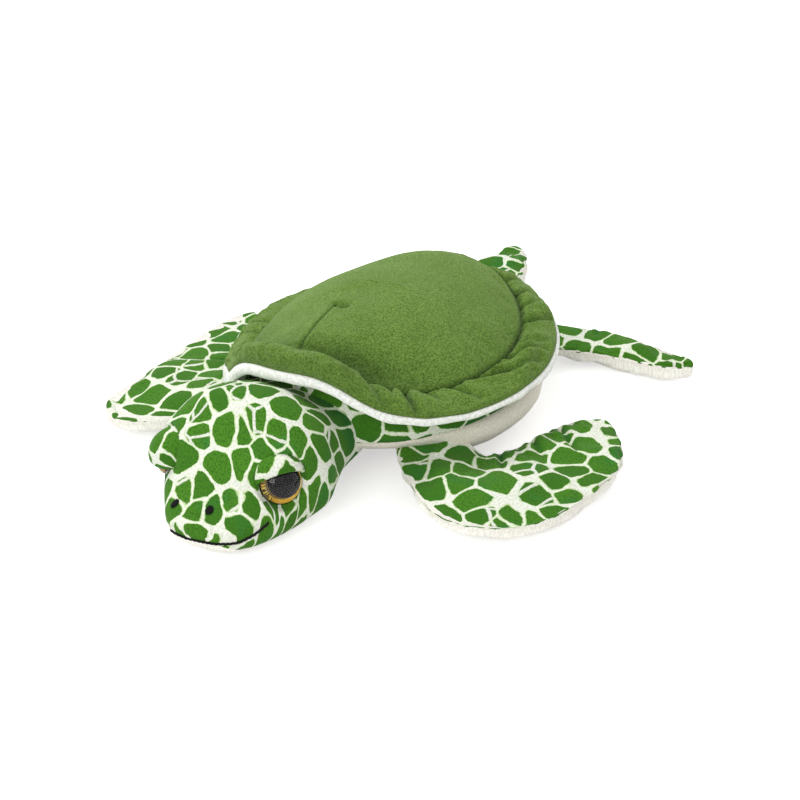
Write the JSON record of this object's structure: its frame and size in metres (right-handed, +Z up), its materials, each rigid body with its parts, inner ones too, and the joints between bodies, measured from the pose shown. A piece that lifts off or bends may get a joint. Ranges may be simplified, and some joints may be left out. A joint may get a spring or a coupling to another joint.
{
  "type": "stuffed toy sea turtle",
  "caption": "Stuffed sea turtle lying on its belly, with a domed plush shell in a padded rim, domed eyes, and a head and flippers that flap at their seams.",
  "frame": {"origin": "on the floor, in the middle of the flat of the belly", "axes": "+Z up, -Y towards the nose, +X towards the turtle's left"},
  "size_m": [0.2709, 0.3697, 0.07],
  "materials": {
    "shell_plush": "olive green short-pile plush",
    "printed_plush": "short-pile plush printed with green scales and white lines",
    "belly_plush": "cream short-pile plush",
    "lining": "white plush",
    "filling": "polyester fibre filling",
    "eye_lens": "clear domed plastic, polished",
    "eye_iris": "amber disc with dark streaks",
    "eye_black": "black, glossy",
    "eye_washer": "white moulded plastic",
    "thread": "black satin-stitch embroidery"
  },
  "bodies": {
    "trunk": {"shell_dome_cover": "shell_plush", "shell_dome_filling": "filling", "shell_rim_top": "shell_plush", "shell_rim_padding": "filling", "shell_rim_lining": "lining", "body_upper_cover": "printed_plush", "body_belly_cover": "belly_plush", "body_filling": "filling"},
    "head": {"head_cover": "printed_plush", "chin_cover": "belly_plush", "head_filling": "filling", "left_eyelid": "printed_plush", "left_eye_lens": "eye_lens", "left_eye_iris": "eye_iris", "left_eye_pupil": "eye_black", "left_eye_back": "eye_black", "left_eye_washer": "eye_washer", "left_nostril_stitching": "thread", "right_eyelid": "printed_plush", "right_eye_lens": "eye_lens", "right_eye_iris": "eye_iris", "right_eye_pupil": "eye_black", "right_eye_back": "eye_black", "right_eye_washer": "eye_washer", "right_nostril_stitching": "thread", "mouth_stitching": "thread"},
    "left_front_flipper": {"left_front_flipper_top_cover": "printed_plush", "left_front_flipper_under_cover": "belly_plush", "left_front_flipper_filling": "filling"},
    "right_front_flipper": {"right_front_flipper_top_cover": "printed_plush", "right_front_flipper_under_cover": "belly_plush", "right_front_flipper_filling": "filling"},
    "left_hind_flipper": {"left_hind_flipper_top_cover": "printed_plush", "left_hind_flipper_under_cover": "belly_plush", "left_hind_flipper_filling": "filling"},
    "right_hind_flipper": {"right_hind_flipper_top_cover": "printed_plush", "right_hind_flipper_under_cover": "belly_plush", "right_hind_flipper_filling": "filling"}
  },
  "joints": [
    {"name": "head_nod", "type": "hinge", "parent": "trunk", "child": "head", "pos_m": [-0.00523, -0.06227, 0.03], "axis": [-0.9945, -0.1045, 0], "range_deg": [-10, 16], "stiffness_Nm_per_rad": 0.6},
    {"name": "left_front_flap", "type": "hinge", "parent": "trunk", "child": "left_front_flipper", "pos_m": [0.06149, -0.04935, 0.018], "axis": [-0.5776, -0.8163, 0], "range_deg": [-20, 25], "stiffness_Nm_per_rad": 0.1},
    {"name": "right_front_flap", "type": "hinge", "parent": "trunk", "child": "right_front_flipper", "pos_m": [-0.06149, -0.04935, 0.018], "axis": [-0.5776, 0.8163, 0], "range_deg": [-20, 25], "stiffness_Nm_per_rad": 0.1},
    {"name": "left_hind_flap", "type": "hinge", "parent": "trunk", "child": "left_hind_flipper", "pos_m": [0.03966, 0.07029, 0.018], "axis": [0.8423, -0.539, 0], "range_deg": [-20, 30], "stiffness_Nm_per_rad": 0.1},
    {"name": "right_hind_flap", "type": "hinge", "parent": "trunk", "child": "right_hind_flipper", "pos_m": [-0.03966, 0.07029, 0.018], "axis": [0.8423, 0.539, 0], "range_deg": [-20, 30], "stiffness_Nm_per_rad": 0.1}
  ]
}
